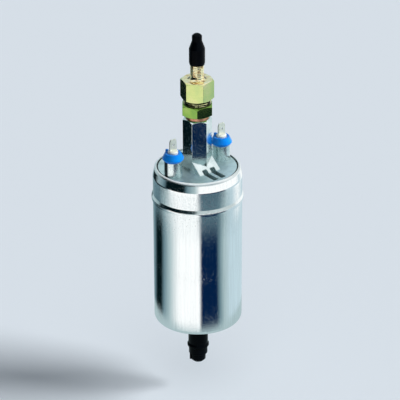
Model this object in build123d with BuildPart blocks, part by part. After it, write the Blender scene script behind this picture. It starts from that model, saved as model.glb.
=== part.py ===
from build123d import *
from math import cos, degrees, pi, radians, sin, sqrt, tan
import os

os.makedirs("parts", exist_ok=True)

# The origin is on the pump's axis, half way along the straight wall that a clamp holds.
# +Z points to the outlet, and the two terminals lie on X.

# Can: a drawn cup, open at the outlet end, where it is necked and crimped over the cover
can_diameter = 52.0
can_wall = 1.0
clamp_band_length = 76.0
can_corner_radius = 2.5
flange_opening_radius = 18.0
bead_height = 3.9
bead_proud = 0.85
bead_crown = 0.1
bead_crest_start = 0.4
bead_crest_end = 2.2
upper_wall_length = 10.5
neck_height = 4.65
neck_turn = 11.0
neck_bend = 5.0
lip_radius = 2.0
lip_turn = 75.0
lip_groove_width = 0.5
lip_groove_depth = 0.5

# Clearances
cover_gap = 0.1
bush_gap = 0.03
ring_gap = 0.05
face_gap = 0.05
mesh_gap = 0.08
valve_gap = 0.05
thread_gap = 0.05
screw_gap = 0.2
magnet_gap = 0.1
brush_gap = 0.1
cap_gap = 0.2

# Inlet end
inlet_cover_height = 9.0
inlet_boss_depth = 2.5
inlet_boss_gap = 0.3
tail_foot_radius = 9.0
tail_foot_height = 4.0
tail_radius = 4.7
tail_length = 20.5
tail_end_taper = 0.8
tail_bore_radius = 2.6
barb_radius = 5.2
barb_height = 3.0
barb_back = 0.4
screen_bore_step = 0.5
screen_depth = 15.0
screen_thickness = 0.6
screen_hole_radius = 0.3
screen_pitch = 0.9
screen_rows = 5

# Seals: round cords in grooves of both covers
seal_cord_radius = 0.9
seal_clearance = 0.02
seal_groove_height = 2.4
inlet_groove_offset = 2.9
outlet_groove_offset = 3.0

# Pump stage: a seven-lobed outer rotor round a six-lobed inner rotor
outer_lobes = 7
pump_ring_height = 9.0
ring_wall = 8.4
eccentricity_ratio = 0.1
rotor_rim = 3.4
lobe_circle_ratio = 1.12
lobe_radius_ratio = 0.346
points_per_lobe = 10
port_plate_thickness = 4.0
plate_hub_height = 5.0
plate_hub_wall = 3.0
port_hub_gap = 0.1
port_rim = 0.4
port_sweep = 130.0
suction_angle = 90.0
delivery_angle = 270.0
port_overlap = 1.0
inlet_port_depth = 5.5
suction_channel_height = 2.5

# Screws of the stage
screw_count = 3
screw_radius = 1.5
screw_head_radius = 2.75
screw_head_height = 2.4
screw_length = 14.5
screw_socket_radius = 1.3
screw_socket_depth = 1.3
screw_inset = 1.5

# Relief valve
relief_ball_radius = 2.5
relief_seat_radius = 1.8
relief_bore_radius = 3.1
relief_wire_radius = 0.25
relief_spring_radius = 2.1
relief_turns = 6
relief_channel_height = 2.0
relief_channel_angle = 165.0
relief_channel_sweep = 30.0

# Shaft, bushes and thrust washers
shaft_radius = 3.0
shaft_flat_depth = 0.6
bush_wall = 1.5
lower_bush_length = 8.0
upper_bush_length = 6.5
thrust_washer_thickness = 0.5
thrust_washer_step = 0.5
end_float = 0.3

# Motor
flux_wall = 2.4
magnet_thickness = 6.1
magnet_sweep = 138.0
magnet_overhang = 2.5
clip_thickness = 0.7
clip_depth = 4.9
air_gap = 0.8
slot_count = 8
slot_radius = 2.3
slot_mouth = 2.0
tooth_tip = 1.4
winding_head_height = 5.0
winding_head_fillet = 1.5
shaft_collar_width = 1.4
wire_clearance = 0.2
commutator_margin = 0.8
commutator_hub_height = 3.5
segment_height = 2.0
segment_slit = 0.6

# Brush gear
brush_radial = 6.0
brush_across = 8.0
brush_length = 7.5
brush_spigot_radius = 1.6
brush_spigot_height = 0.8
brush_wire_radius = 0.22
brush_spring_radius = 2.1
brush_spring_length = 4.3
brush_spring_turns = 4
tube_wall = 0.9
tube_hub_gap = 0.3
holder_flange = 3.0
holder_standoff = 2.1
holder_hole_gap = 1.0
window_inner_radius = 12.0
window_outer_radius = 20.0
window_sweep = 70.0
strap_thickness = 0.6
strap_width = 6.0
strap_end = 2.6

# Outlet cover
cover_skirt_height = 14.55
cover_roof = 5.5
groove_wall = 1.8
hub_wall = 1.5
hub_depth = 7.5
passage_width = 3.0
passage_reach = 7.2
passage_height = 6.0
tower_across_flats = 14.7
tower_wall = 1.4
tower_height = 31.2
tower_turn = 30.0
tower_face_step = 0.35
tower_face_chamfer = 1.2
buttress_reach = 12.0
buttress_height = 9.6
post_radius = 5.2
post_height = 9.05
post_bore_radius = 3.0
rib_width = 2.1
slot_pocket_width = 3.4
slot_pocket_start = 9.5
slot_pocket_rim = 2.1
slot_pocket_corner = 0.7
slot_pocket_depth = 3.4

# Terminals and their insulators
insulator_radius = 6.2
insulator_edge_start = 1.3
insulator_edge = 0.5
insulator_top_radius = 4.7
insulator_height = 4.9
insulator_dish_radius = 3.5
insulator_dish_depth = 0.5
insulator_sleeve_depth = 7.0
lug_length = 1.3
lug_width = 1.2
lug_height = 2.9
lug_radius = 4.3
lug_base = 2.9
lug_angle = 106.0
terminal_foot_radius = 3.0
terminal_foot_height = 2.0
terminal_foot_round = 0.7
blade_width = 4.8
blade_thickness = 0.8
blade_length = 6.8
blade_corner = 0.7
blade_corner_height = 1.6
blade_hole_radius = 0.75
blade_hole_depth = 3.6
terminal_pin_radius = 1.5
terminal_pin_tail = 0.8
terminal_nut_flats = 5.5
terminal_nut_height = 2.4
terminal_nut_turn = 30.0
nut_side_clearance = 3.6
spacer_radius = 3.4
spacer_spigot_length = 3.0

# Washer, check valve and outlet adapter
washer_width = 0.7
washer_thickness = 1.7
tower_thread_length = 13.3
thread_relief = 0.5
hex_across_flats = 17.0
hex_face_step = 0.15
hex_chamfer = 0.85
chamfer_margin = 1.0
valve_flange_radius = 7.0
valve_flange_height = 0.65
valve_hex_height = 6.6
valve_hex_turn = -8.5
valve_collar_step = 0.65
valve_collar_height = 3.15
valve_upper_thread = 8.0
valve_wall = 1.95
valve_seat_step = 0.6
valve_seat_height = 3.0
check_ball_passage = 0.8
check_wire_radius = 0.25
check_spring_step = 0.9
check_turns = 7
retainer_depth = 12.0
retainer_thickness = 1.5
retainer_hole_step = 2.2
adapter_hex_height = 11.9
adapter_hex_turn = 12.4
adapter_thread_depth = 8.5
stub_radius = 3.85
stub_root = 2.0
stub_root_hollow = 0.45
stub_length = 17.7
stub_bore_radius = 2.25
stub_chamfer = 0.6

# Protection caps
outlet_cap_wall = 0.55
outlet_cap_height_over_hex = 8.95
outlet_cap_mouth_wall = 0.25
outlet_cap_mouth_height = 1.3
outlet_cap_body = 9.75
outlet_cap_taper = 4.7
outlet_cap_tip = 4.5
outlet_cap_tip_radius = 2.9
outlet_cap_dome = 1.6
inlet_cap_wall = 0.5
inlet_cap_mouth_gap = 1.5
inlet_cap_ring_radius = 6.5
inlet_cap_ring_height = 3.0
inlet_cap_ring_slope = 1.0
inlet_cap_bore_drop = 1.0
inlet_cap_bore_slope = 0.3
inlet_cap_lower_radius = 5.6
inlet_cap_tail_room = 2.5
inlet_cap_step_height = 0.8
inlet_cap_tip_radius = 4.5
inlet_cap_tip_length = 4.95
inlet_cap_tip_round = 1.4
inlet_cap_lug_width = 4.0
inlet_cap_lug_reach = 5.1
inlet_cap_lug_angle = 141.5

# Radii that follow from the sizes above
can_radius = can_diameter / 2
can_bore = can_radius - can_wall
bend_height = neck_bend * sin(radians(neck_turn))
bend_reduction = neck_bend * (1 - cos(radians(neck_turn)))
neck_reduction = bend_reduction + (neck_height - bend_height) * tan(radians(neck_turn))
lip_centre = can_radius - neck_reduction - lip_radius * cos(radians(neck_turn))
lip_bore = lip_radius - can_wall
plate_radius = can_bore - cover_gap
cover_rim_radius = lip_bore - cover_gap
groove_radius = can_bore - 2 * seal_cord_radius
recess_radius = groove_radius - groove_wall
bush_radius = shaft_radius + bush_wall
hub_radius = bush_radius + hub_wall
shaft_flats = 2 * (shaft_radius - shaft_flat_depth)
thrust_washer_radius = bush_radius + thrust_washer_step
collar_radius = shaft_radius + shaft_collar_width
plate_hub_radius = bush_radius + plate_hub_wall
port_inner_radius = plate_hub_radius + port_hub_gap

rotor_radius = (plate_radius - ring_wall) / (1 + eccentricity_ratio)
eccentricity = rotor_radius * eccentricity_ratio
root_radius = rotor_radius - rotor_rim
port_outer_radius = root_radius - port_rim
lobe_circle = root_radius * lobe_circle_ratio
lobe_radius = lobe_circle * lobe_radius_ratio
screw_circle = (rotor_radius + eccentricity + plate_radius) / 2 - screw_inset
relief_circle = (rotor_radius - eccentricity + groove_radius) / 2

flux_bore = plate_radius - flux_wall
magnet_outer = flux_bore - magnet_gap
magnet_inner = magnet_outer - magnet_thickness
core_radius = magnet_inner - air_gap
slot_circle = core_radius - tooth_tip - slot_radius
tube_radial = brush_radial + 2 * brush_gap + 2 * tube_wall
tube_across = brush_across + 2 * brush_gap + 2 * tube_wall
brush_circle = hub_radius + tube_hub_gap + tube_radial / 2
commutator_radius = brush_circle + brush_radial / 2 + commutator_margin
segment_inner_radius = brush_circle - brush_radial / 2 - commutator_margin
holder_hole_radius = thrust_washer_radius + holder_hole_gap
terminal_circle = recess_radius - nut_side_clearance
barb_clearance_radius = barb_radius + cap_gap
stub_clearance_radius = stub_radius + cap_gap

thread_radius = tower_across_flats / 2 - tower_wall
washer_radius = thread_radius + washer_width
tower_face_radius = tower_across_flats / 2 - tower_face_step
hex_face_radius = hex_across_flats / 2 - hex_face_step
valve_collar_radius = hex_across_flats / 2 - valve_collar_step
valve_bore_radius = thread_radius - valve_wall
check_ball_radius = valve_bore_radius - check_ball_passage
valve_seat_radius = check_ball_radius - valve_seat_step
check_spring_radius = check_ball_radius - check_spring_step
retainer_hole_radius = valve_bore_radius - retainer_hole_step

# Levels from the inlet end upwards
z_band_low = -clamp_band_length / 2
z_band_high = clamp_band_length / 2
z_can_low = z_band_low - can_corner_radius
z_seat = z_can_low + can_wall
z_boss = z_can_low - inlet_boss_depth
z_foot = z_boss - tail_foot_height
z_tail = z_boss - tail_length
z_barb = z_tail + barb_height
z_screen = z_tail + screen_depth
z_inlet_groove = z_seat + inlet_groove_offset
z_ring = z_seat + inlet_cover_height
z_inlet_port = z_ring - inlet_port_depth
z_plate = z_ring + pump_ring_height
z_flux = z_plate + port_plate_thickness
z_plate_hub = z_flux + plate_hub_height
z_screw_seat = z_flux - screw_head_height
z_screw_end = z_screw_seat - screw_length
z_lower_bush = z_plate_hub - lower_bush_length

# Levels of the crimped end and what hangs from it
z_bead_high = z_band_high + bead_height
z_neck = z_bead_high + upper_wall_length
z_lip = z_neck + neck_height - lip_radius * sin(radians(neck_turn))
z_groove = z_lip + cover_rim_radius
z_roof = z_groove + lip_groove_depth
z_recess = z_roof - cover_roof
z_skirt = z_roof - cover_skirt_height
z_outlet_groove = z_skirt + outlet_groove_offset
z_cover_hub = z_recess - hub_depth
z_upper_bush_top = z_cover_hub + upper_bush_length
z_flux_top = z_skirt - holder_flange
z_commutator = z_flux_top - holder_standoff
z_brush = z_commutator + face_gap
z_brush_top = z_brush + brush_length
z_strap = z_brush_top + brush_spring_length
z_nut = z_strap - terminal_nut_height
z_pin = z_nut - terminal_pin_tail
z_post = z_roof + post_height

# Levels of the armature, which fills the space between the two bushes
z_head = z_plate_hub + end_float + thrust_washer_thickness
z_core = z_head + winding_head_height
z_commutator_hub = z_commutator - segment_height - commutator_hub_height
z_core_top = z_commutator_hub - winding_head_height
z_boss_top = z_cover_hub - end_float - thrust_washer_thickness
z_magnet = z_core - magnet_overhang
magnet_length = z_core_top + magnet_overhang - z_magnet

# Levels of the outlet fittings
z_tower = z_roof + tower_height
z_valve = z_tower + washer_thickness
z_valve_low = z_tower - tower_thread_length + thread_relief
z_valve_hex = z_valve + valve_flange_height
z_collar = z_valve_hex + valve_hex_height
z_adapter = z_collar + valve_collar_height
z_valve_top = z_adapter + valve_upper_thread
z_seat_edge = z_valve_low + valve_seat_height
z_check_ball = z_seat_edge + sqrt(check_ball_radius**2 - valve_seat_radius**2) + valve_gap
z_retainer = z_valve_top - retainer_depth
z_stub = z_adapter + adapter_hex_height
z_stub_top = z_stub + stub_length
z_relief_ball = z_plate - sqrt(relief_ball_radius**2 - relief_seat_radius**2) - valve_gap

UPWARD = (Align.CENTER, Align.CENTER, Align.MIN)


def profile(*points, x=0):
    """A closed section of straight lines: radius from the axis at x, then height."""
    with BuildSketch(Plane.XZ) as section:
        with BuildLine():
            Polyline(*[(x + radius, height) for radius, height in points], close=True)
        make_face()
    return section.sketch


def upright(x=0):
    """The vertical axis that a piece at x is turned about."""
    return Axis((x, 0, 0), (0, 0, 1))


def ring_sector(inner, outer, centre_angle, sweep, height):
    """A piece of a flat ring at the given height, centred on an angle."""
    start = centre_angle - sweep / 2
    with BuildSketch(Plane.XY.offset(height)) as sector:
        with BuildLine():
            outside = CenterArc((0, 0), outer, start, sweep)
            inside = CenterArc((0, 0), inner, start, sweep)
            Line(outside @ 0, inside @ 0)
            Line(outside @ 1, inside @ 1)
        make_face()
    return sector.sketch


def hexagon(turn, low, high):
    """A hexagonal bar with the usual turned chamfer on both ends."""
    with BuildPart() as bar:
        with BuildSketch(Plane.XY.offset(low)):
            RegularPolygon(hex_across_flats / 2, 6, major_radius=False, rotation=turn)
        extrude(amount=high - low)
        corner = hex_across_flats / sqrt(3)
        outside = corner + chamfer_margin
        rise = hex_chamfer * (outside - hex_face_radius) / (corner - hex_face_radius)
        revolve(
            profile(
                (0, low),
                (hex_face_radius, low),
                (outside, low + rise),
                (outside, high - rise),
                (hex_face_radius, high),
                (0, high),
            ),
            axis=Axis.Z,
            mode=Mode.INTERSECT,
        )
    return bar.part


def coil_spring(x, z_low, z_high, mean_radius, wire_radius, turns):
    """One unbroken wire round a vertical axis: each quarter turn is two tangent arcs."""
    rise = (z_high - z_low - 2 * wire_radius) / turns
    slope = rise / (2 * pi * mean_radius)

    def place(quarter):
        angle = pi / 2 * quarter
        height = z_low + wire_radius + rise * quarter / 4
        return Vector(x + mean_radius * cos(angle), mean_radius * sin(angle), height)

    def direction(quarter):
        angle = pi / 2 * quarter
        return Vector(-sin(angle), cos(angle), slope).normalized()

    with BuildPart() as spring:
        with BuildLine() as wire:
            for quarter in range(4 * turns):
                start, end = place(quarter), place(quarter + 1)
                leave, arrive = direction(quarter), direction(quarter + 1)
                chord = end - start
                along = chord.dot(leave + arrive)
                bend = 2 * (1 - leave.dot(arrive))
                reach = (sqrt(along**2 + bend * chord.dot(chord)) - along) / bend
                joint = (start + end + (leave - arrive) * reach) * 0.5
                heading = end - arrive * reach - start - leave * reach
                TangentArc(start, joint, tangent=leave)
                TangentArc(joint, end, tangent=heading.normalized())
        with BuildSketch(Plane(origin=wire.line @ 0, z_dir=wire.line % 0)):
            Circle(wire_radius)
        sweep(path=wire.line)
    return spring


# Can: one drawn piece with a rolled bead, a neck that leans in, and the crimped lip
def neck_point(depth, turn):
    """A point on the bend under the neck, at a depth under its outside, turned from the wall."""
    radius = neck_bend - depth
    centre = can_radius - neck_bend
    return (centre + radius * cos(radians(turn)), z_neck + radius * sin(radians(turn)))


def lip_point(radius, turn):
    """A point on the crimped lip, turned up from the level by an angle."""
    return (lip_centre + radius * cos(radians(turn)), z_lip + radius * sin(radians(turn)))


def neck_arc(depth):
    """The bend where the neck starts, at a depth under its outside. The neck is straight above it."""
    return (neck_point(depth, 0), neck_point(depth, neck_turn / 2), neck_point(depth, neck_turn))


def lip_arc(radius):
    """The lip's curve about its centre, from the neck to the edge."""
    middle = (neck_turn + lip_turn) / 2
    return (lip_point(radius, neck_turn), lip_point(radius, middle), lip_point(radius, lip_turn))


def bead_arc(radius):
    """The bead's crest, where the wall has the given radius."""
    edge = radius + bead_proud - bead_crown
    start = z_band_high + bead_crest_start
    end = z_band_high + bead_crest_end
    return ((edge, start), (radius + bead_proud, (start + end) / 2), (edge, end))


def corner_point(radius):
    """The middle of the can's rounded bottom corner."""
    reach = radius * cos(pi / 4)
    return (can_radius - can_corner_radius + reach, z_band_low - reach)


with BuildPart() as can:
    with BuildSketch(Plane.XZ):
        with BuildLine():
            corner_start = can_radius - can_corner_radius
            Line((flange_opening_radius, z_can_low), (corner_start, z_can_low))
            ThreePointArc(
                (corner_start, z_can_low), corner_point(can_corner_radius), (can_radius, z_band_low)
            )
            outer_crest = ThreePointArc(*bead_arc(can_radius))
            Polyline((can_radius, z_band_low), (can_radius, z_band_high), outer_crest @ 0)
            Polyline(outer_crest @ 1, (can_radius, z_bead_high), (can_radius, z_neck))
            outer_bend = ThreePointArc(*neck_arc(0))
            outer_lip = ThreePointArc(*lip_arc(lip_radius))
            inner_lip = ThreePointArc(*lip_arc(lip_bore))
            inner_bend = ThreePointArc(*neck_arc(can_wall))
            Line(outer_bend @ 1, outer_lip @ 0)
            Line(outer_lip @ 1, inner_lip @ 1)
            Line(inner_lip @ 0, inner_bend @ 1)
            inner_crest = ThreePointArc(*bead_arc(can_bore))
            Polyline((can_bore, z_neck), (can_bore, z_bead_high), inner_crest @ 1)
            Polyline(inner_crest @ 0, (can_bore, z_band_high), (can_bore, z_band_low))
            ThreePointArc(
                (can_bore, z_band_low),
                corner_point(can_corner_radius - can_wall),
                (corner_start, z_seat),
            )
            Line((corner_start, z_seat), (flange_opening_radius, z_seat))
            Line((flange_opening_radius, z_seat), (flange_opening_radius, z_can_low))
        make_face()
    revolve(axis=Axis.Z)
can.part.label = "can"
export_step(can.part, "parts/can.step")

# Inlet cover: seats on the can's flange, with the suction port above and the hose tail below
with BuildPart() as inlet_cover:
    boss_radius = flange_opening_radius - inlet_boss_gap
    revolve(
        profile(
            (0, z_tail),
            (tail_radius - tail_end_taper, z_tail),
            (barb_radius, z_barb),
            (tail_radius, z_barb + barb_back),
            (tail_radius, z_foot),
            (tail_foot_radius, z_boss),
            (boss_radius, z_boss),
            (boss_radius, z_seat),
            (plate_radius - can_corner_radius, z_seat),
            (plate_radius, z_seat + can_corner_radius),
            (plate_radius, z_inlet_groove),
            (groove_radius, z_inlet_groove),
            (groove_radius, z_inlet_groove + seal_groove_height),
            (plate_radius, z_inlet_groove + seal_groove_height),
            (plate_radius, z_ring),
            (0, z_ring),
        ),
        axis=Axis.Z,
    )
    with Locations((0, 0, z_tail)):
        Cylinder(
            tail_bore_radius,
            z_inlet_port + suction_channel_height - z_tail,
            align=UPWARD,
            mode=Mode.SUBTRACT,
        )
        Cylinder(
            tail_bore_radius + screen_bore_step, screen_depth, align=UPWARD, mode=Mode.SUBTRACT
        )
    extrude(
        ring_sector(port_inner_radius, port_outer_radius, suction_angle, port_sweep, z_inlet_port),
        amount=inlet_port_depth,
        mode=Mode.SUBTRACT,
    )
    with Locations((0, 0, z_inlet_port)):
        Box(
            2 * tail_bore_radius,
            port_inner_radius + port_overlap,
            suction_channel_height,
            align=(Align.CENTER, Align.MIN, Align.MIN),
            mode=Mode.SUBTRACT,
        )
    with Locations((-relief_circle, 0, z_inlet_port)):
        Cylinder(relief_bore_radius, inlet_port_depth, align=UPWARD, mode=Mode.SUBTRACT)
    extrude(
        ring_sector(
            port_inner_radius + port_overlap,
            relief_circle,
            relief_channel_angle,
            relief_channel_sweep,
            z_inlet_port,
        ),
        amount=relief_channel_height,
        mode=Mode.SUBTRACT,
    )
    with BuildSketch(Plane.XY.offset(z_screw_end - screw_gap)):
        with PolarLocations(screw_circle, screw_count):
            Circle(screw_radius + thread_gap)
    extrude(amount=z_ring - z_screw_end + screw_gap, mode=Mode.SUBTRACT)
inlet_cover.part.label = "inlet_cover"
export_step(inlet_cover.part, "parts/inlet_cover.step")

# Inlet screen: a perforated disc pressed into the hose tail
with BuildPart() as inlet_screen:
    with BuildSketch(Plane.XY.offset(z_screen - screen_thickness)):
        Circle(tail_bore_radius + screen_bore_step - thread_gap)
        with GridLocations(screen_pitch, screen_pitch, screen_rows, screen_rows):
            Circle(screen_hole_radius, mode=Mode.SUBTRACT)
    extrude(amount=screen_thickness)
inlet_screen.part.label = "inlet_screen"
export_step(inlet_screen.part, "parts/inlet_screen.step")

# Seals of the two covers
for seal_name, groove in (("inlet_seal", z_inlet_groove), ("outlet_seal", z_outlet_groove)):
    with BuildPart() as seal:
        with Locations((0, 0, groove + seal_groove_height / 2)):
            Torus(can_bore - seal_cord_radius, seal_cord_radius - seal_clearance)
    seal.part.label = seal_name
    export_step(seal.part, f"parts/{seal_name}.step")

# Pump ring: the eccentric housing of the rotors
with BuildPart() as pump_ring:
    with BuildSketch(Plane.XY.offset(z_ring)):
        Circle(plate_radius)
        with Locations((eccentricity, 0)):
            Circle(rotor_radius + ring_gap, mode=Mode.SUBTRACT)
        with Locations((-relief_circle, 0)):
            Circle(relief_bore_radius, mode=Mode.SUBTRACT)
        with PolarLocations(screw_circle, screw_count):
            Circle(screw_radius + screw_gap, mode=Mode.SUBTRACT)
    extrude(amount=pump_ring_height)
pump_ring.part.label = "pump_ring"
export_step(pump_ring.part, "parts/pump_ring.step")

# Outer rotor: round lobes that point inwards, turning about the offset axis
rotor_height = pump_ring_height - 2 * face_gap
with BuildPart() as outer_rotor:
    with BuildSketch(Plane.XY.offset(z_ring + face_gap)):
        with Locations((eccentricity, 0)):
            Circle(rotor_radius)
    extrude(amount=rotor_height)
    with BuildSketch(Plane.XY.offset(z_ring + face_gap)):
        with Locations((eccentricity, 0)):
            Circle(root_radius)
            with PolarLocations(lobe_circle, outer_lobes):
                Circle(lobe_radius, mode=Mode.SUBTRACT)
    extrude(amount=rotor_height, mode=Mode.SUBTRACT)
outer_rotor.part.label = "outer_rotor"
export_step(outer_rotor.part, "parts/outer_rotor.step")


# Inner rotor: the curve that stays parallel to the path of the outer lobes' centres
def inner_rotor_point(turn):
    """The inner rotor's outline where an outer lobe's centre has gone round by turn."""
    reach = eccentricity * outer_lobes
    centre = Vector(
        lobe_circle * cos(turn) + eccentricity * cos(outer_lobes * turn),
        lobe_circle * sin(turn) + eccentricity * sin(outer_lobes * turn),
    )
    tangent = Vector(
        -lobe_circle * sin(turn) - reach * sin(outer_lobes * turn),
        lobe_circle * cos(turn) + reach * cos(outer_lobes * turn),
    ).normalized()
    inward = Vector(-tangent.Y, tangent.X)
    return centre + inward * (lobe_radius + mesh_gap)


outline_points = points_per_lobe * (outer_lobes - 1)
with BuildPart() as inner_rotor:
    with BuildSketch(Plane.XY.offset(z_ring + face_gap)):
        with BuildLine():
            Spline(
                *[inner_rotor_point(2 * pi * step / outline_points) for step in range(outline_points)],
                periodic=True,
            )
        make_face()
    extrude(amount=rotor_height)
    with BuildSketch(Plane.XY.offset(z_ring + face_gap)):
        Circle(shaft_radius + bush_gap)
        Rectangle(2 * collar_radius, shaft_flats + 2 * bush_gap, mode=Mode.INTERSECT)
    extrude(amount=rotor_height, mode=Mode.SUBTRACT)
inner_rotor.part.label = "inner_rotor"
export_step(inner_rotor.part, "parts/inner_rotor.step")

# Port plate: closes the stage, with the delivery port, the relief seat and the lower bush
with BuildPart() as port_plate:
    with BuildSketch(Plane.XY.offset(z_plate)):
        Circle(plate_radius)
    extrude(amount=port_plate_thickness)
    with BuildSketch(Plane.XY.offset(z_flux)):
        Circle(plate_hub_radius)
    extrude(amount=plate_hub_height)
    with BuildSketch(Plane.XY.offset(z_plate)):
        Circle(shaft_radius + screw_gap)
        with Locations((-relief_circle, 0)):
            Circle(relief_seat_radius)
        with PolarLocations(screw_circle, screw_count):
            Circle(screw_radius + screw_gap)
    extrude(amount=port_plate_thickness, mode=Mode.SUBTRACT)
    with BuildSketch(Plane.XY.offset(z_lower_bush)):
        Circle(bush_radius)
    extrude(amount=lower_bush_length, mode=Mode.SUBTRACT)
    with BuildSketch(Plane.XY.offset(z_screw_seat)):
        with PolarLocations(screw_circle, screw_count):
            Circle(screw_head_radius + screw_gap)
    extrude(amount=screw_head_height, mode=Mode.SUBTRACT)
    extrude(
        ring_sector(port_inner_radius, port_outer_radius, delivery_angle, port_sweep, z_plate),
        amount=port_plate_thickness,
        mode=Mode.SUBTRACT,
    )
port_plate.part.label = "port_plate"
export_step(port_plate.part, "parts/port_plate.step")

# Stage screws: socket heads sunk in the port plate, threads in the inlet cover
with BuildPart() as stage_screws:
    with BuildSketch(Plane.XY.offset(z_screw_end)):
        with PolarLocations(screw_circle, screw_count):
            Circle(screw_radius)
    extrude(amount=screw_length)
    with BuildSketch(Plane.XY.offset(z_screw_seat)):
        with PolarLocations(screw_circle, screw_count):
            Circle(screw_head_radius)
    extrude(amount=screw_head_height)
    with BuildSketch(Plane.XY.offset(z_flux - screw_socket_depth)):
        with PolarLocations(screw_circle, screw_count):
            RegularPolygon(screw_socket_radius, 6)
    extrude(amount=screw_socket_depth, mode=Mode.SUBTRACT)
stage_screws.part.label = "stage_screws"
export_step(stage_screws.part, "parts/stage_screws.step")

# Relief valve: a ball that its spring holds against the port plate's seat
with BuildPart() as relief_ball:
    with Locations((-relief_circle, 0, z_relief_ball)):
        Sphere(relief_ball_radius)
relief_ball.part.label = "relief_ball"
export_step(relief_ball.part, "parts/relief_ball.step")


def crown_drop(ball_radius, spring_radius, wire_radius):
    """How far from a ball's centre the end turn of a spring sits, along the axis."""
    return sqrt((ball_radius + wire_radius + valve_gap) ** 2 - spring_radius**2)


relief_drop = crown_drop(relief_ball_radius, relief_spring_radius, relief_wire_radius)
relief_spring = coil_spring(
    -relief_circle,
    z_inlet_port + valve_gap,
    z_relief_ball - relief_drop + relief_wire_radius,
    relief_spring_radius,
    relief_wire_radius,
    relief_turns,
)
relief_spring.part.label = "relief_spring"
export_step(relief_spring.part, "parts/relief_spring.step")

# Bushes: plain sintered sleeves that carry the shaft
for bush_name, z_bush, bush_length in (
    ("lower_bush", z_lower_bush, lower_bush_length),
    ("upper_bush", z_cover_hub, upper_bush_length),
):
    with BuildPart() as bush:
        with BuildSketch(Plane.XY.offset(z_bush)):
            Circle(bush_radius)
            Circle(shaft_radius + bush_gap, mode=Mode.SUBTRACT)
        extrude(amount=bush_length)
    bush.part.label = bush_name
    export_step(bush.part, f"parts/{bush_name}.step")

# Shaft: two flats at the lower end drive the inner rotor, and a collar takes the thrust
z_shaft = z_ring + end_float
z_shaft_top = z_upper_bush_top - end_float
z_flats_end = z_plate + end_float
with BuildPart() as shaft:
    with BuildSketch(Plane.XY.offset(z_shaft)):
        Circle(shaft_radius)
        Rectangle(2 * collar_radius, shaft_flats, mode=Mode.INTERSECT)
    extrude(amount=z_flats_end - z_shaft)
    with BuildSketch(Plane.XY.offset(z_flats_end)):
        Circle(shaft_radius)
    extrude(amount=z_shaft_top - z_flats_end)
    with BuildSketch(Plane.XY.offset(z_head)):
        Circle(collar_radius)
    extrude(amount=z_core - z_head)
shaft.part.label = "shaft"
export_step(shaft.part, "parts/shaft.step")

# Thrust washers at both ends of the armature
with BuildPart() as thrust_washers:
    for z_washer in (z_plate_hub + end_float, z_boss_top):
        with BuildSketch(Plane.XY.offset(z_washer)):
            Circle(thrust_washer_radius)
            Circle(shaft_radius + face_gap, mode=Mode.SUBTRACT)
        extrude(amount=thrust_washer_thickness)
thrust_washers.part.label = "thrust_washers"
export_step(thrust_washers.part, "parts/thrust_washers.step")

# Armature core: the stack of laminations with its winding slots
with BuildPart() as armature_core:
    with BuildSketch(Plane.XY.offset(z_core)):
        Circle(core_radius)
        Circle(shaft_radius, mode=Mode.SUBTRACT)
        with PolarLocations(slot_circle, slot_count):
            Circle(slot_radius, mode=Mode.SUBTRACT)
            Rectangle(
                2 * (core_radius - slot_circle),
                slot_mouth,
                align=(Align.MIN, Align.CENTER),
                mode=Mode.SUBTRACT,
            )
    extrude(amount=z_core_top - z_core)
armature_core.part.label = "armature_core"
export_step(armature_core.part, "parts/armature_core.step")

# Armature windings: the two heads, joined through the slots
with BuildPart() as armature_windings:
    for z_winding in (z_head, z_core_top):
        with BuildSketch(Plane.XY.offset(z_winding)):
            Circle(core_radius - tooth_tip)
        extrude(amount=winding_head_height)
    fillet(
        armature_windings.edges().filter_by(GeomType.CIRCLE),
        winding_head_fillet,
    )
    with BuildSketch(Plane.XY.offset(z_core)):
        with PolarLocations(slot_circle, slot_count):
            Circle(slot_radius - wire_clearance)
    extrude(amount=z_core_top - z_core)
    with BuildSketch(Plane.XY.offset(z_head)):
        Circle(collar_radius + wire_clearance)
    extrude(amount=z_commutator_hub - z_head, mode=Mode.SUBTRACT)
armature_windings.part.label = "armature_windings"
export_step(armature_windings.part, "parts/armature_windings.step")

# Commutator: moulded hub on the shaft, with flat copper segments on its face
with BuildPart() as commutator_hub:
    with BuildSketch(Plane.XY.offset(z_commutator_hub)):
        Circle(commutator_radius)
    extrude(amount=commutator_hub_height)
    with BuildSketch(Plane.XY.offset(z_commutator_hub)):
        Circle(thrust_washer_radius)
    extrude(amount=z_boss_top - z_commutator_hub)
    with BuildSketch(Plane.XY.offset(z_commutator_hub)):
        Circle(shaft_radius)
    extrude(amount=z_boss_top - z_commutator_hub, mode=Mode.SUBTRACT)
commutator_hub.part.label = "commutator_hub"
export_step(commutator_hub.part, "parts/commutator_hub.step")

with BuildPart() as commutator_segments:
    with BuildSketch(Plane.XY.offset(z_commutator - segment_height)):
        Circle(commutator_radius)
        Circle(segment_inner_radius, mode=Mode.SUBTRACT)
        with PolarLocations(0, slot_count // 2, angular_range=180):
            Rectangle(2 * core_radius, segment_slit, mode=Mode.SUBTRACT)
    extrude(amount=segment_height)
commutator_segments.part.label = "commutator_segments"
export_step(commutator_segments.part, "parts/commutator_segments.step")

# Flux ring: the steel tube between port plate and brush holder that carries the magnets
with BuildPart() as flux_ring:
    with BuildSketch(Plane.XY.offset(z_flux)):
        Circle(plate_radius)
        Circle(flux_bore, mode=Mode.SUBTRACT)
    extrude(amount=z_flux_top - z_flux)
flux_ring.part.label = "flux_ring"
export_step(flux_ring.part, "parts/flux_ring.step")

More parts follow.
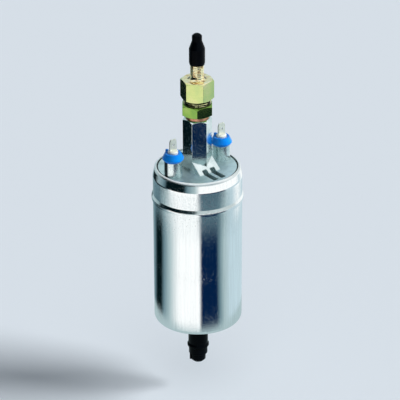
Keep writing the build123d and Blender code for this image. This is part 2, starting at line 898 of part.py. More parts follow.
# Magnets: two arched ferrites, and the two channel springs that press them apart
with BuildPart() as magnets:
    for side in (0, 180):
        extrude(
            ring_sector(magnet_inner, magnet_outer, side, magnet_sweep, z_magnet),
            amount=magnet_length,
        )
magnets.part.label = "magnets"
export_step(magnets.part, "parts/magnets.step")

clip_sweep = 180 - magnet_sweep - degrees(2 * magnet_gap / magnet_inner)
clip_wall_turn = degrees(2 * clip_thickness / magnet_inner)
with BuildPart() as magnet_clips:
    for side in (90, 270):
        extrude(
            ring_sector(magnet_outer - clip_depth, magnet_outer, side, clip_sweep, z_magnet),
            amount=magnet_length,
        )
        extrude(
            ring_sector(
                magnet_inner - clip_depth,
                magnet_outer - clip_thickness,
                side,
                clip_sweep - clip_wall_turn,
                z_magnet,
            ),
            amount=magnet_length,
            mode=Mode.SUBTRACT,
        )
magnet_clips.part.label = "magnet_clips"
export_step(magnet_clips.part, "parts/magnet_clips.step")

# Brush holder: a moulded flange with two square tubes and two fuel windows
with BuildPart() as brush_holder:
    with BuildSketch(Plane.XY.offset(z_flux_top)):
        Circle(plate_radius)
        Circle(holder_hole_radius, mode=Mode.SUBTRACT)
    extrude(amount=holder_flange)
    for side in (90, 270):
        extrude(
            ring_sector(window_inner_radius, window_outer_radius, side, window_sweep, z_flux_top),
            amount=holder_flange,
            mode=Mode.SUBTRACT,
        )
    with BuildSketch(Plane.XY.offset(z_flux_top)):
        with Locations((brush_circle, 0), (-brush_circle, 0)):
            Rectangle(tube_radial, tube_across)
    extrude(amount=z_strap - z_flux_top)
    with BuildSketch(Plane.XY.offset(z_flux_top)):
        with Locations((brush_circle, 0), (-brush_circle, 0)):
            Rectangle(brush_radial + 2 * brush_gap, brush_across + 2 * brush_gap)
    extrude(amount=z_strap - z_flux_top, mode=Mode.SUBTRACT)
brush_holder.part.label = "brush_holder"
export_step(brush_holder.part, "parts/brush_holder.step")

# Brushes, their springs, the terminals and the insulators, one of each on either side
for side_name, side in (("left", -1), ("right", 1)):
    brush_x = side * brush_circle
    with BuildPart() as brush:
        with BuildSketch(Plane.XY.offset(z_brush)):
            with Locations((brush_x, 0)):
                Rectangle(brush_radial, brush_across)
        extrude(amount=brush_length)
        with BuildSketch(Plane.XY.offset(z_brush_top)):
            with Locations((brush_x, 0)):
                Circle(brush_spigot_radius)
        extrude(amount=brush_spigot_height)
    brush.part.label = f"brush_{side_name}"
    export_step(brush.part, f"parts/brush_{side_name}.step")

    brush_spring = coil_spring(
        brush_x,
        z_brush_top + valve_gap,
        z_strap - valve_gap,
        brush_spring_radius,
        brush_wire_radius,
        brush_spring_turns,
    )
    brush_spring.part.label = f"brush_spring_{side_name}"
    export_step(brush_spring.part, f"parts/brush_spring_{side_name}.step")

    terminal_x = side * terminal_circle
    pin_hole = terminal_pin_radius + thread_gap
    sleeve_radius = post_bore_radius - thread_gap
    z_dish = z_post + insulator_height - insulator_dish_depth
    with BuildPart() as insulator:
        revolve(
            profile(
                (pin_hole, z_post - insulator_sleeve_depth),
                (sleeve_radius, z_post - insulator_sleeve_depth),
                (sleeve_radius, z_post),
                (post_radius, z_post),
                (insulator_radius, z_post + insulator_edge_start),
                (insulator_radius, z_post + insulator_edge_start + insulator_edge),
                (insulator_top_radius, z_post + insulator_height),
                (insulator_dish_radius, z_post + insulator_height),
                (insulator_dish_radius, z_dish),
                (pin_hole, z_dish),
                x=terminal_x,
            ),
            axis=upright(terminal_x),
        )
        with Locations((terminal_x, 0, z_post + lug_base)):
            with PolarLocations(lug_radius, 1, start_angle=lug_angle):
                Box(lug_length, lug_width, lug_height, align=UPWARD)
    insulator.part.label = f"insulator_{side_name}"
    export_step(insulator.part, f"parts/insulator_{side_name}.step")

    z_blade = z_dish + terminal_foot_height
    with BuildPart() as terminal:
        with BuildSketch(Plane.XY.offset(z_pin)):
            with Locations((terminal_x, 0)):
                Circle(terminal_pin_radius)
        extrude(amount=z_dish - z_pin)
        revolve(
            profile(
                (0, z_dish),
                (terminal_foot_radius, z_dish),
                (terminal_foot_radius, z_blade - terminal_foot_round),
                (terminal_foot_radius - terminal_foot_round, z_blade),
                (0, z_blade),
                x=terminal_x,
            ),
            axis=upright(terminal_x),
        )
        with BuildSketch(Plane.XZ.offset(-blade_thickness / 2)):
            with BuildLine():
                half = blade_width / 2
                z_tip = z_blade + blade_length
                Polyline(
                    (terminal_x - half, z_blade),
                    (terminal_x - half, z_tip - blade_corner_height),
                    (terminal_x - half + blade_corner, z_tip),
                    (terminal_x + half - blade_corner, z_tip),
                    (terminal_x + half, z_tip - blade_corner_height),
                    (terminal_x + half, z_blade),
                    close=True,
                )
            make_face()
            with Locations((terminal_x, z_tip - blade_hole_depth)):
                Circle(blade_hole_radius, mode=Mode.SUBTRACT)
        extrude(amount=blade_thickness)
    terminal.part.label = f"terminal_{side_name}"
    export_step(terminal.part, f"parts/terminal_{side_name}.step")

# Contact straps: copper strips that close the brush tubes and lead to the terminal pins
with BuildPart() as contact_straps:
    strap_start = brush_circle - tube_radial / 2
    strap_length = terminal_circle + strap_end - strap_start
    for side in (-1, 1):
        with BuildSketch(Plane.XY.offset(z_strap)):
            with Locations((side * (strap_start + strap_length / 2), 0)):
                Rectangle(strap_length, strap_width)
            with Locations((side * terminal_circle, 0)):
                Circle(terminal_pin_radius + thread_gap, mode=Mode.SUBTRACT)
        extrude(amount=strap_thickness)
contact_straps.part.label = "contact_straps"
export_step(contact_straps.part, "parts/contact_straps.step")

# Terminal spacers insulate the pins from the cover, and nuts clamp the straps to them
with BuildPart() as terminal_spacers:
    for side in (-1, 1):
        terminal_x = side * terminal_circle
        revolve(
            profile(
                (terminal_pin_radius + thread_gap, z_strap + strap_thickness),
                (spacer_radius, z_strap + strap_thickness),
                (spacer_radius, z_recess),
                (post_bore_radius - thread_gap, z_recess),
                (post_bore_radius - thread_gap, z_recess + spacer_spigot_length),
                (terminal_pin_radius + thread_gap, z_recess + spacer_spigot_length),
                x=terminal_x,
            ),
            axis=upright(terminal_x),
        )
terminal_spacers.part.label = "terminal_spacers"
export_step(terminal_spacers.part, "parts/terminal_spacers.step")

with BuildPart() as terminal_nuts:
    with BuildSketch(Plane.XY.offset(z_nut)):
        with Locations((terminal_circle, 0), (-terminal_circle, 0)):
            RegularPolygon(terminal_nut_flats / 2, 6, major_radius=False, rotation=terminal_nut_turn)
            Circle(terminal_pin_radius + thread_gap, mode=Mode.SUBTRACT)
    extrude(amount=terminal_nut_height)
terminal_nuts.part.label = "terminal_nuts"
export_step(terminal_nuts.part, "parts/terminal_nuts.step")

# Outlet cover: cast roof and skirt, with the hexagonal tower, its buttresses and the two posts
with BuildPart() as outlet_cover:
    with BuildSketch(Plane.XZ):
        with BuildLine():
            neck_side = ThreePointArc(*neck_arc(can_wall + cover_gap))
            rim = ThreePointArc(*lip_arc(cover_rim_radius))
            Line(neck_side @ 1, rim @ 0)
            roof_radius = lip_point(lip_bore, lip_turn)[0] - lip_groove_width
            Polyline(
                rim @ 1,
                (roof_radius, z_groove),
                (roof_radius, z_roof),
                (0, z_roof),
                (0, z_skirt),
                (plate_radius, z_skirt),
                (plate_radius, z_outlet_groove),
                (groove_radius, z_outlet_groove),
                (groove_radius, z_outlet_groove + seal_groove_height),
                (plate_radius, z_outlet_groove + seal_groove_height),
                neck_side @ 0,
            )
        make_face()
    revolve(axis=Axis.Z)
    for side in (-1, 1):
        with Locations((side * terminal_circle, 0, z_roof)):
            Cylinder(post_radius, post_height, align=UPWARD)
    with BuildSketch(Plane.XY.offset(z_recess)):
        RegularPolygon(tower_across_flats / 2, 6, major_radius=False, rotation=tower_turn)
    extrude(amount=z_tower - z_recess)
    tower_corner = tower_across_flats / sqrt(3)
    outside = tower_corner + chamfer_margin
    drop = tower_face_chamfer * (outside - tower_face_radius) / (tower_corner - tower_face_radius)
    revolve(
        profile((tower_face_radius, z_tower), (outside, z_tower), (outside, z_tower - drop)),
        axis=Axis.Z,
        mode=Mode.SUBTRACT,
    )
    # Buttresses: ramps, as wide as the tower, that fall from it along the Y axis
    with BuildSketch(Plane.YZ.offset(-tower_across_flats / 2)):
        with BuildLine():
            Polyline(
                (-buttress_reach, z_recess),
                (-buttress_reach, z_roof),
                (0, z_roof + buttress_height),
                (buttress_reach, z_roof),
                (buttress_reach, z_recess),
                close=True,
            )
        make_face()
    extrude(amount=tower_across_flats)
    # Pockets: a slot on either side of the rib that continues each buttress
    slot_pocket_length = roof_radius - slot_pocket_rim - slot_pocket_start
    slot_x = (rib_width + slot_pocket_width) / 2
    slot_y = slot_pocket_start + slot_pocket_length / 2
    with BuildSketch(Plane.XY.offset(z_roof - slot_pocket_depth)):
        with GridLocations(2 * slot_x, 2 * slot_y, 2, 2):
            RectangleRounded(slot_pocket_width, slot_pocket_length, slot_pocket_corner)
    extrude(amount=slot_pocket_depth + buttress_height, mode=Mode.SUBTRACT)
    # Recess underneath, with the hub of the upper bush left standing
    with BuildSketch(Plane.XY.offset(z_skirt)):
        Circle(recess_radius)
    extrude(amount=z_recess - z_skirt, mode=Mode.SUBTRACT)
    with BuildSketch(Plane.XY.offset(z_cover_hub)):
        Circle(hub_radius)
    extrude(amount=z_recess - z_cover_hub)
    with BuildSketch(Plane.XY.offset(z_cover_hub)):
        Circle(bush_radius)
    extrude(amount=upper_bush_length, mode=Mode.SUBTRACT)
    # Way out: two passages past the bush, the outlet bore and the valve's thread
    with Locations((0, 0, z_recess - passage_height / 2)):
        Box(passage_width, 2 * passage_reach, passage_height, align=UPWARD, mode=Mode.SUBTRACT)
    with BuildSketch(Plane.XY.offset(z_upper_bush_top)):
        Circle(valve_bore_radius)
    extrude(amount=z_tower - z_upper_bush_top, mode=Mode.SUBTRACT)
    with BuildSketch(Plane.XY.offset(z_tower - tower_thread_length)):
        Circle(thread_radius + thread_gap)
    extrude(amount=tower_thread_length, mode=Mode.SUBTRACT)
    with BuildSketch(Plane.XY.offset(z_recess)):
        with Locations((terminal_circle, 0), (-terminal_circle, 0)):
            Circle(post_bore_radius)
    extrude(amount=z_post - z_recess, mode=Mode.SUBTRACT)
outlet_cover.part.label = "outlet_cover"
export_step(outlet_cover.part, "parts/outlet_cover.step")

# Sealing washer: soft copper between tower and valve
with BuildPart() as sealing_washer:
    with BuildSketch(Plane.XY.offset(z_tower)):
        Circle(washer_radius)
        Circle(thread_radius + thread_gap, mode=Mode.SUBTRACT)
    extrude(amount=washer_thickness)
sealing_washer.part.label = "sealing_washer"
export_step(sealing_washer.part, "parts/sealing_washer.step")

# Check valve body: thread into the tower, washer face, hexagon, collar and the upper thread
with BuildPart() as check_valve_body:
    add(hexagon(valve_hex_turn, z_valve_hex, z_collar))
    with Locations((0, 0, z_valve)):
        Cylinder(valve_flange_radius, valve_flange_height, align=UPWARD)
    with Locations((0, 0, z_valve_low)):
        Cylinder(thread_radius, z_valve_top - z_valve_low, align=UPWARD)
    with Locations((0, 0, z_collar)):
        Cylinder(valve_collar_radius, valve_collar_height, align=UPWARD)
    with Locations((0, 0, z_valve_low)):
        Cylinder(valve_seat_radius, valve_seat_height, align=UPWARD, mode=Mode.SUBTRACT)
    with Locations((0, 0, z_seat_edge)):
        Cylinder(valve_bore_radius, z_valve_top - z_seat_edge, align=UPWARD, mode=Mode.SUBTRACT)
check_valve_body.part.label = "check_valve_body"
export_step(check_valve_body.part, "parts/check_valve_body.step")

# Check ball, its spring and the pressed ring that the spring bears on
with BuildPart() as check_ball:
    with Locations((0, 0, z_check_ball)):
        Sphere(check_ball_radius)
check_ball.part.label = "check_ball"
export_step(check_ball.part, "parts/check_ball.step")

check_rise = crown_drop(check_ball_radius, check_spring_radius, check_wire_radius)
check_spring = coil_spring(
    0,
    z_check_ball + check_rise - check_wire_radius,
    z_retainer - valve_gap,
    check_spring_radius,
    check_wire_radius,
    check_turns,
)
check_spring.part.label = "check_spring"
export_step(check_spring.part, "parts/check_spring.step")

with BuildPart() as spring_retainer:
    with BuildSketch(Plane.XY.offset(z_retainer)):
        Circle(valve_bore_radius)
        Circle(retainer_hole_radius, mode=Mode.SUBTRACT)
    extrude(amount=retainer_thickness)
spring_retainer.part.label = "spring_retainer"
export_step(spring_retainer.part, "parts/spring_retainer.step")

# Outlet adapter: hexagon screwed on the valve, with the outlet stub on a hollow-curved root
z_stub_join = z_adapter + adapter_thread_depth
root_radius_low = stub_radius + stub_root
root_middle = stub_root / 2 - stub_root_hollow / sqrt(2)
with BuildPart() as outlet_adapter:
    add(hexagon(adapter_hex_turn, z_adapter, z_stub))
    with BuildSketch(Plane.XZ):
        with BuildLine():
            root = ThreePointArc(
                (root_radius_low, z_stub),
                (stub_radius + root_middle, z_stub + root_middle),
                (stub_radius, z_stub + stub_root),
            )
            Polyline((0, z_stub_top), (0, z_stub_join), (root_radius_low, z_stub_join), root @ 0)
            Polyline(
                root @ 1,
                (stub_radius, z_stub_top - stub_chamfer),
                (stub_radius - stub_chamfer, z_stub_top),
                (0, z_stub_top),
            )
        make_face()
    revolve(axis=Axis.Z)
    with Locations((0, 0, z_adapter)):
        Cylinder(
            thread_radius + thread_gap, adapter_thread_depth, align=UPWARD, mode=Mode.SUBTRACT
        )
        Cylinder(stub_bore_radius, z_stub_top - z_adapter, align=UPWARD, mode=Mode.SUBTRACT)
outlet_adapter.part.label = "outlet_adapter"
export_step(outlet_adapter.part, "parts/outlet_adapter.step")

# Outlet cap: soft plastic cap with a narrow tip, pushed over the stub
z_cap = z_stub + outlet_cap_height_over_hex
z_cap_shoulder = z_cap + outlet_cap_body
z_cap_neck = z_cap_shoulder + outlet_cap_taper
z_cap_top = z_cap_neck + outlet_cap_tip
cap_outer = stub_clearance_radius + outlet_cap_wall
cap_floor = z_stub_top + cap_gap
with BuildPart() as outlet_cap:
    with BuildSketch(Plane.XZ):
        with BuildLine():
            Polyline(
                (0, z_cap_top),
                (0, cap_floor),
                (stub_clearance_radius, cap_floor),
                (stub_clearance_radius, z_cap),
                (stub_clearance_radius + outlet_cap_mouth_wall, z_cap),
                (cap_outer, z_cap + outlet_cap_mouth_height),
                (cap_outer, z_cap_shoulder),
                (outlet_cap_tip_radius, z_cap_neck),
                (outlet_cap_tip_radius, z_cap_top - outlet_cap_dome),
            )
            dome_edge = (outlet_cap_tip_radius, z_cap_top - outlet_cap_dome)
            TangentArc((0, z_cap_top), dome_edge, tangent=(1, 0))
        make_face()
    revolve(axis=Axis.Z)
outlet_cap.part.label = "outlet_cap"
export_step(outlet_cap.part, "parts/outlet_cap.step")

# Inlet cap: pushed over the hose tail, with a raised ring, a step and a small grip lug
z_inlet_mouth = z_foot - inlet_cap_mouth_gap
z_ring_low = z_barb - inlet_cap_ring_height / 2
z_ring_high = z_ring_low + inlet_cap_ring_height
z_step = z_tail - inlet_cap_tail_room
z_tip = z_step - inlet_cap_step_height
z_inlet_cap_low = z_tip - inlet_cap_tip_length
inlet_outer = barb_clearance_radius + inlet_cap_wall
inlet_lower_bore = inlet_cap_lower_radius - inlet_cap_wall
with BuildPart() as inlet_cap:
    revolve(
        profile(
            (barb_clearance_radius, z_inlet_mouth),
            (inlet_outer, z_inlet_mouth),
            (inlet_outer, z_ring_high),
            (inlet_cap_ring_radius, z_ring_high - inlet_cap_ring_slope),
            (inlet_cap_ring_radius, z_ring_low + inlet_cap_ring_slope),
            (inlet_cap_lower_radius, z_ring_low),
            (inlet_cap_lower_radius, z_step),
            (inlet_cap_tip_radius, z_tip),
            (inlet_cap_tip_radius, z_inlet_cap_low + inlet_cap_tip_round),
            (inlet_cap_tip_radius - inlet_cap_tip_round, z_inlet_cap_low),
            (0, z_inlet_cap_low),
            (0, z_tail - cap_gap),
            (inlet_lower_bore, z_tail - cap_gap),
            (inlet_lower_bore, z_barb - inlet_cap_bore_drop),
            (barb_clearance_radius, z_barb - inlet_cap_bore_drop + inlet_cap_bore_slope),
        ),
        axis=Axis.Z,
    )
    z_lug = z_inlet_cap_low + inlet_cap_tip_round
    with Locations((0, 0, z_lug)):
        with PolarLocations(0, 1, start_angle=inlet_cap_lug_angle):
            Box(
                inlet_cap_lug_reach,
                inlet_cap_lug_width,
                z_step - z_lug,
                align=(Align.MIN, Align.CENTER, Align.MIN),
            )
inlet_cap.part.label = "inlet_cap"
export_step(inlet_cap.part, "parts/inlet_cap.step")
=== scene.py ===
from math import cos, pi, radians, sin

import bpy
from mathutils import Matrix, Vector


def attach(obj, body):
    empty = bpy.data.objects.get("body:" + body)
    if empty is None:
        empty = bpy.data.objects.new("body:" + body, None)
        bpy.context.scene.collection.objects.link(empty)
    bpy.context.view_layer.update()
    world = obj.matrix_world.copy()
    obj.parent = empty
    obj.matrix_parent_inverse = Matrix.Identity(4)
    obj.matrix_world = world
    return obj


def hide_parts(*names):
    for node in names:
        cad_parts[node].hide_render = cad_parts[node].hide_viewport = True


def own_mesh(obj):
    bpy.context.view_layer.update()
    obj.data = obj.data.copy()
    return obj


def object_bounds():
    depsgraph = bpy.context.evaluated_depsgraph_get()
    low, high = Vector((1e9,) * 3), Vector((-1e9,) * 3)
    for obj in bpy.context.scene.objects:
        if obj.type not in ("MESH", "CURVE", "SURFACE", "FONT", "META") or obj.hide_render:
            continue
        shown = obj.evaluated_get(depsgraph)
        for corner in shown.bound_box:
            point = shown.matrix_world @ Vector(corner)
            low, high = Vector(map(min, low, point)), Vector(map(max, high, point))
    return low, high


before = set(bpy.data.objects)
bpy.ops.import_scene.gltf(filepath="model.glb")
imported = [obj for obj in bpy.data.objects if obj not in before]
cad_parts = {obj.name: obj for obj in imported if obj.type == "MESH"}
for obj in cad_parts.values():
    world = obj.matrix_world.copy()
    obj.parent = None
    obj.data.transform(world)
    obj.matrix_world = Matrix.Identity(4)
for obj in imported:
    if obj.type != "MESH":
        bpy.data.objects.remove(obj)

cad_box = [list(corner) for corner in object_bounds()]

# Camera: a long lens that looks down on the pump from the side of its left terminal.
# The pump's axis leans a little in the frame, so the camera is rolled by that much.
VIEW_AZIMUTH = radians(-38.5)
VIEW_ELEVATION = radians(26.8)
VIEW_DISTANCE = 1.341
VIEW_ROLL = radians(-0.2)
LENS = 207.0
AIM_HEIGHT = 0.036
AIM_SIDEWAYS = 0.0014


def way(turn, lift):
    """The direction at an angle round the pump from the camera's side, and an angle up."""
    angle = VIEW_AZIMUTH + turn
    return Vector((sin(angle) * cos(lift), -cos(angle) * cos(lift), sin(lift)))


camera_right = Vector((cos(VIEW_AZIMUTH), sin(VIEW_AZIMUTH), 0))
camera_data = bpy.data.cameras.new("camera")
camera_data.lens = LENS
camera = bpy.data.objects.new("camera", camera_data)
bpy.context.scene.collection.objects.link(camera)
bpy.context.scene.camera = camera
towards_camera = way(0, VIEW_ELEVATION)
aim = Vector((0, 0, AIM_HEIGHT)) + camera_right * AIM_SIDEWAYS
facing = towards_camera.to_track_quat("Z", "Y").to_matrix().to_4x4()
stand = Matrix.Translation(aim + towards_camera * VIEW_DISTANCE)
camera.matrix_world = stand @ facing @ Matrix.Rotation(VIEW_ROLL, 4, "Z")
bpy.context.scene.view_settings.view_transform = "Standard"


# Studio: a plain pale floor, an even sky and two soft lamps. To reflected rays only, the floor
# and sky show painted boards, which bright metal mirrors: white boards, a black flag at the left
# and a dark blue cloth at the right.
# The pump is held over the floor, so that its lower cap can be pulled off downwards.
class Wire:
    """A shader socket that takes part in sums as a number does."""

    def __init__(self, finish, socket):
        self.finish = finish
        self.socket = socket

    def _sum(self, operation, first, second):
        return self.finish.node("Math", {"operation": operation}, {0: first, 1: second})

    def __add__(self, other):
        return self._sum("ADD", self, other)

    __radd__ = __add__

    def __sub__(self, other):
        return self._sum("SUBTRACT", self, other)

    def __rsub__(self, other):
        return self._sum("SUBTRACT", other, self)

    def __mul__(self, other):
        return self._sum("MULTIPLY", self, other)

    __rmul__ = __mul__

    def between(self, low, high):
        """Nought under the low value, one over the high one, and a smooth rise between."""
        sockets = {"Value": self, "From Min": low, "From Max": high}
        return self.finish.node("MapRange", {"interpolation_type": "SMOOTHSTEP"}, sockets)


class Finish:
    """A node tree of a material or of the world, and the ways to add nodes to it."""

    def __init__(self, holder):
        self.holder = holder
        holder.use_nodes = True
        self.tree = holder.node_tree
        self.tree.nodes.clear()

    def node(self, kind, settings, sockets, output=0):
        """Adds a node: its settings first, then the values or links of its sockets."""
        made = self.tree.nodes.new("ShaderNode" + kind)
        for name, value in settings.items():
            if name == "stops":
                self._set_stops(made.color_ramp, value)
            else:
                setattr(made, name, value)
        for name, value in sockets.items():
            if isinstance(value, Wire):
                self.tree.links.new(value.socket, made.inputs[name])
            else:
                made.inputs[name].default_value = value
        return Wire(self, made.outputs[output]) if made.outputs else None

    def _set_stops(self, ramp, stops):
        while len(ramp.elements) < len(stops):
            ramp.elements.new(0.5)
        for element, (place, colour) in zip(ramp.elements, stops):
            element.position = place
            element.color = (*colour, 1)

    def mix(self, factor, first, second):
        """A colour between two colours."""
        first, second = [(*c, 1) if isinstance(c, tuple) else c for c in (first, second)]
        sockets = {0: factor, 6: first, 7: second}
        return self.node("Mix", {"data_type": "RGBA"}, sockets, output=2)

    def ramp(self, factor, *stops):
        """Colours along a factor, each at its own value of it."""
        return self.node("ValToRGB", {"stops": stops}, {0: factor})

    def place(self, stretch=(1, 1, 1)):
        """The place on the piece. A value under one draws a pattern out along that axis."""
        here = self.node("TexCoord", {}, {}, output="Object")
        return self.node("Mapping", {}, {"Vector": here, "Scale": stretch})

    def noise(self, scale, detail=2.0, roughness=0.5, stretch=(1, 1, 1)):
        """A cloudy pattern that is fixed to the piece. Its patches are about 1 / scale wide."""
        at = self.place(stretch)
        sockets = {"Vector": at, "Scale": scale, "Detail": detail, "Roughness": roughness}
        return self.node("TexNoise", {}, sockets)

    def height(self):
        """How high a point is over the middle of the can's straight wall."""
        here = self.node("TexCoord", {}, {}, output="Object")
        return self.node("SeparateXYZ", {}, {0: here}, output="Z")

    def reach(self):
        """How far a point is from the pump's axis."""
        level = self.place(stretch=(1, 1, 0))
        return self.node("VectorMath", {"operation": "LENGTH"}, {0: level}, output="Value")

    def rounded(self, radius):
        """The normal of a surface whose sharp edges are broken by a small radius."""
        return self.node("Bevel", {"samples": 6}, {"Radius": radius})

    def bump(self, height, distance, strength, under=None):
        """The normal of a surface with a relief on it, over another normal if one is given."""
        sockets = {"Height": height, "Distance": distance, "Strength": strength}
        if under is not None:
            sockets["Normal"] = under
        return self.node("Bump", {}, sockets)

    def surface(self, **sockets):
        """The main shader, joined to the output. Underlines in names stand for spaces."""
        named = {name.replace("_", " "): value for name, value in sockets.items()}
        shader = self.node("BsdfPrincipled", {}, named)
        self.node("OutputMaterial", {}, {"Surface": shader})
        return self.holder


# Colours of the painted boards that reflected rays see round the table. In each row of boards, a
# colour stands at its angle in degrees, to the right of the camera's side, and fades into the
# next one.
WHITE = (1.08, 1.10, 1.09)
PALE = (0.56, 0.71, 0.77)
MIST = (0.43, 0.56, 0.58)
SLATE = (0.14, 0.24, 0.28)
NAVY = (0.001, 0.014, 0.058)
BLACK = (0.001, 0.007, 0.009)
HAZE = (0.62, 0.70, 0.70)
CEILING_WHITE = (0.92, 0.98, 1.0)
EVEN = ((-180, MIST), (180, MIST))
LOW_BOARDS = (
    (-180, MIST),
    (-142, SLATE),
    (-125, BLACK),
    (-104, BLACK),
    (-93, SLATE),
    (-73, MIST),
    (-46, WHITE),
    (3, WHITE),
    (9, NAVY),
    (47, NAVY),
    (55, SLATE),
    (68, MIST),
    (88, PALE),
    (180, PALE),
)
WALL_BOARDS = (
    (-180, MIST),
    (-140, SLATE),
    (-112, SLATE),
    (-90, MIST),
    (-55, WHITE),
    (-2, WHITE),
    (9, SLATE),
    (54, SLATE),
    (72, MIST),
    (95, PALE),
    (120, WHITE),
    (150, PALE),
    (180, PALE),
)
TOWER_BOARDS = (
    (-180, MIST),
    (-132, SLATE),
    (-118, BLACK),
    (-88, BLACK),
    (-80, SLATE),
    (-70, WHITE),
    (-3, WHITE),
    (2, NAVY),
    (70, NAVY),
    (78, PALE),
    (125, PALE),
    (150, WHITE),
    (180, MIST),
)
FITTING_BOARDS = (
    (-180, MIST),
    (-160, SLATE),
    (-150, BLACK),
    (-88, BLACK),
    (-80, SLATE),
    (-70, WHITE),
    (0, WHITE),
    (5, NAVY),
    (66, NAVY),
    (74, PALE),
    (125, PALE),
    (150, WHITE),
    (180, MIST),
)
NECK_BOARDS = (
    (-180, PALE),
    (-125, MIST),
    (-92, SLATE),
    (-82, BLACK),
    (-33, BLACK),
    (-26, SLATE),
    (-6, MIST),
    (6, WHITE),
    (140, WHITE),
    (180, PALE),
)
BEAD_BOARDS = (
    (-180, PALE),
    (-125, MIST),
    (-100, BLACK),
    (-8, BLACK),
    (2, HAZE),
    (140, HAZE),
    (180, PALE),
)
HIGH_BOARDS = (
    (-180, HAZE),
    (-130, HAZE),
    (-112, BLACK),
    (-48, BLACK),
    (-30, SLATE),
    (-5, MIST),
    (10, MIST),
    (22, SLATE),
    (60, SLATE),
    (80, WHITE),
    (110, WHITE),
    (140, HAZE),
    (180, HAZE),
)
CEILING = ((-180, CEILING_WHITE), (180, CEILING_WHITE))

# Rings painted on the table for reflected rays only, by the distance from the pump's axis at
# which a ring begins to show and at which it is whole. The can mirrors the inner ones, and the
# tower and fittings the outer.
TABLE_RINGS = (
    (0.115, 0.125, LOW_BOARDS),
    (0.242, 0.277, WALL_BOARDS),
    (0.307, 0.321, TOWER_BOARDS),
    (0.372, 0.380, FITTING_BOARDS),
    (0.500, 0.560, NECK_BOARDS),
)

# Rings painted in the sky for reflected rays only, by the upward part of the direction, which is
# one straight overhead.
SKY_RINGS = (
    (0.03, 0.07, BEAD_BOARDS),
    (0.36, 0.43, HIGH_BOARDS),
    (0.70, 0.78, CEILING),
)
FLOOR_COLOUR = (0.80, 0.86, 0.92)
SKY_COLOUR = (0.84, 0.92, 1.0)
SKY_STRENGTH = 0.18
CAP_TRAVEL = 0.0185
FLOOR_LEVEL = cad_box[0][2] - CAP_TRAVEL
FLOOR_HALF = 5.0

# Lamps: name, angle to the right of the camera's side, angle up and softness, in degrees,
# and power. They are left out of reflections, where the boards take their place.
LAMPS = (
    ("key", 84, 32, 26, 3.5),
    ("fill", 10, 62, 40, 0.35),
)


def ring(finish, at, boards):
    """The painted boards in a ring round the pump, each at its angle from the camera's side."""
    from_camera = (0, 0, pi / 2 - VIEW_AZIMUTH)
    turned = finish.node("Mapping", {}, {"Vector": at, "Rotation": from_camera})
    sockets = {"Vector": turned}
    angle = finish.node("TexGradient", {"gradient_type": "RADIAL"}, sockets, output="Fac")
    return finish.ramp(angle, *[((turn + 180) / 360, colour) for turn, colour in boards])


def surroundings(finish, at, measure, middle, rings):
    """The boards in rings one outside the other, each from where it begins to show."""
    seen = ring(finish, at, middle)
    for start, whole, boards in rings:
        seen = finish.mix(measure.between(start, whole), seen, ring(finish, at, boards))
    return seen


world = bpy.data.worlds.new("studio")
bpy.context.scene.world = world
sky = Finish(world)
direction = sky.node("TexCoord", {}, {}, output="Generated")
upward = sky.node("SeparateXYZ", {}, {0: direction}, output="Z")
boards_above = surroundings(sky, direction, upward, NECK_BOARDS, SKY_RINGS)
glossy = sky.node("LightPath", {}, {}, output="Is Glossy Ray")
plain = sky.node("Background", {}, {"Color": (*SKY_COLOUR, 1), "Strength": SKY_STRENGTH})
# Reflected rays see the painted boards in the sky, and other rays see the even sky.
mirrored = sky.node("Background", {}, {"Color": boards_above})
shown = sky.node("MixShader", {}, {0: glossy, 1: plain, 2: mirrored})
sky.node("OutputWorld", {}, {"Surface": shown})

floor_mesh = bpy.data.meshes.new("floor")
corners = [(x * FLOOR_HALF, y * FLOOR_HALF, 0) for x, y in ((-1, -1), (1, -1), (1, 1), (-1, 1))]
floor_mesh.from_pydata(corners, [], [(0, 1, 2, 3)])
floor = bpy.data.objects.new("floor", floor_mesh)
floor.location.z = FLOOR_LEVEL
bpy.context.scene.collection.objects.link(floor)
table = Finish(bpy.data.materials.new("floor"))
spot = table.node("TexCoord", {}, {}, output="Object")
away = table.node("VectorMath", {"operation": "LENGTH"}, {0: spot}, output="Value")
boards_round = surroundings(table, spot, away, EVEN, TABLE_RINGS)
paper = table.node("BsdfDiffuse", {}, {"Color": (*FLOOR_COLOUR, 1)})
# Reflected rays see the painted boards glowing on the floor, and other rays see plain paper.
mirrored = table.node("Emission", {}, {"Color": boards_round})
glossy = table.node("LightPath", {}, {}, output="Is Glossy Ray")
above = table.node("MixShader", {}, {0: glossy, 1: paper, 2: mirrored})
clear = table.node("BsdfTransparent", {}, {})
under = table.node("NewGeometry", {}, {}, output="Backfacing")
shown = table.node("MixShader", {}, {0: under, 1: above, 2: clear})
table.node("OutputMaterial", {}, {"Surface": shown})
floor_mesh.materials.append(table.holder)

for name, turn, lift, softness, power in LAMPS:
    lamp = bpy.data.lights.new(name, "SUN")
    lamp.angle = radians(softness)
    lamp.energy = power
    lamp_object = bpy.data.objects.new(name, lamp)
    bpy.context.scene.collection.objects.link(lamp_object)
    shining_from = way(radians(turn), radians(lift))
    lamp_object.rotation_euler = shining_from.to_track_quat("Z", "Y").to_euler()
    lamp_object.visible_glossy = False


# Can: bright steel sheet, deep drawn into a cup, rolled to a bead and crimped over the
# cover. Drawing leaves faint lengthwise lines, and the polish is worn in two bands, round
# the top where the pump is handled and round the middle where its clamp sits.
DARK_END = 0.35
PALE_END = 0.65
DRAWN_DARK = (0.87, 0.89, 0.90)
DRAWN_PALE = (0.94, 0.96, 0.97)
SCUFFED = (0.62, 0.70, 0.73)

# Heights over the middle of the can's straight wall, between which a finish fades in or out.
TOP_WEAR_STARTS = (0.016, 0.030)
TOP_WEAR_ENDS = (0.050, 0.052)
CLAMP_WEAR_STARTS = (-0.010, -0.004)
CLAMP_WEAR_ENDS = (-0.001, 0.005)
LIP_FOOT = (0.0571, 0.0575)


def finished(*nodes, material):
    """Gives CAD nodes a material."""
    for name in nodes:
        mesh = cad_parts[name].data
        mesh.materials.clear()
        mesh.materials.append(material)


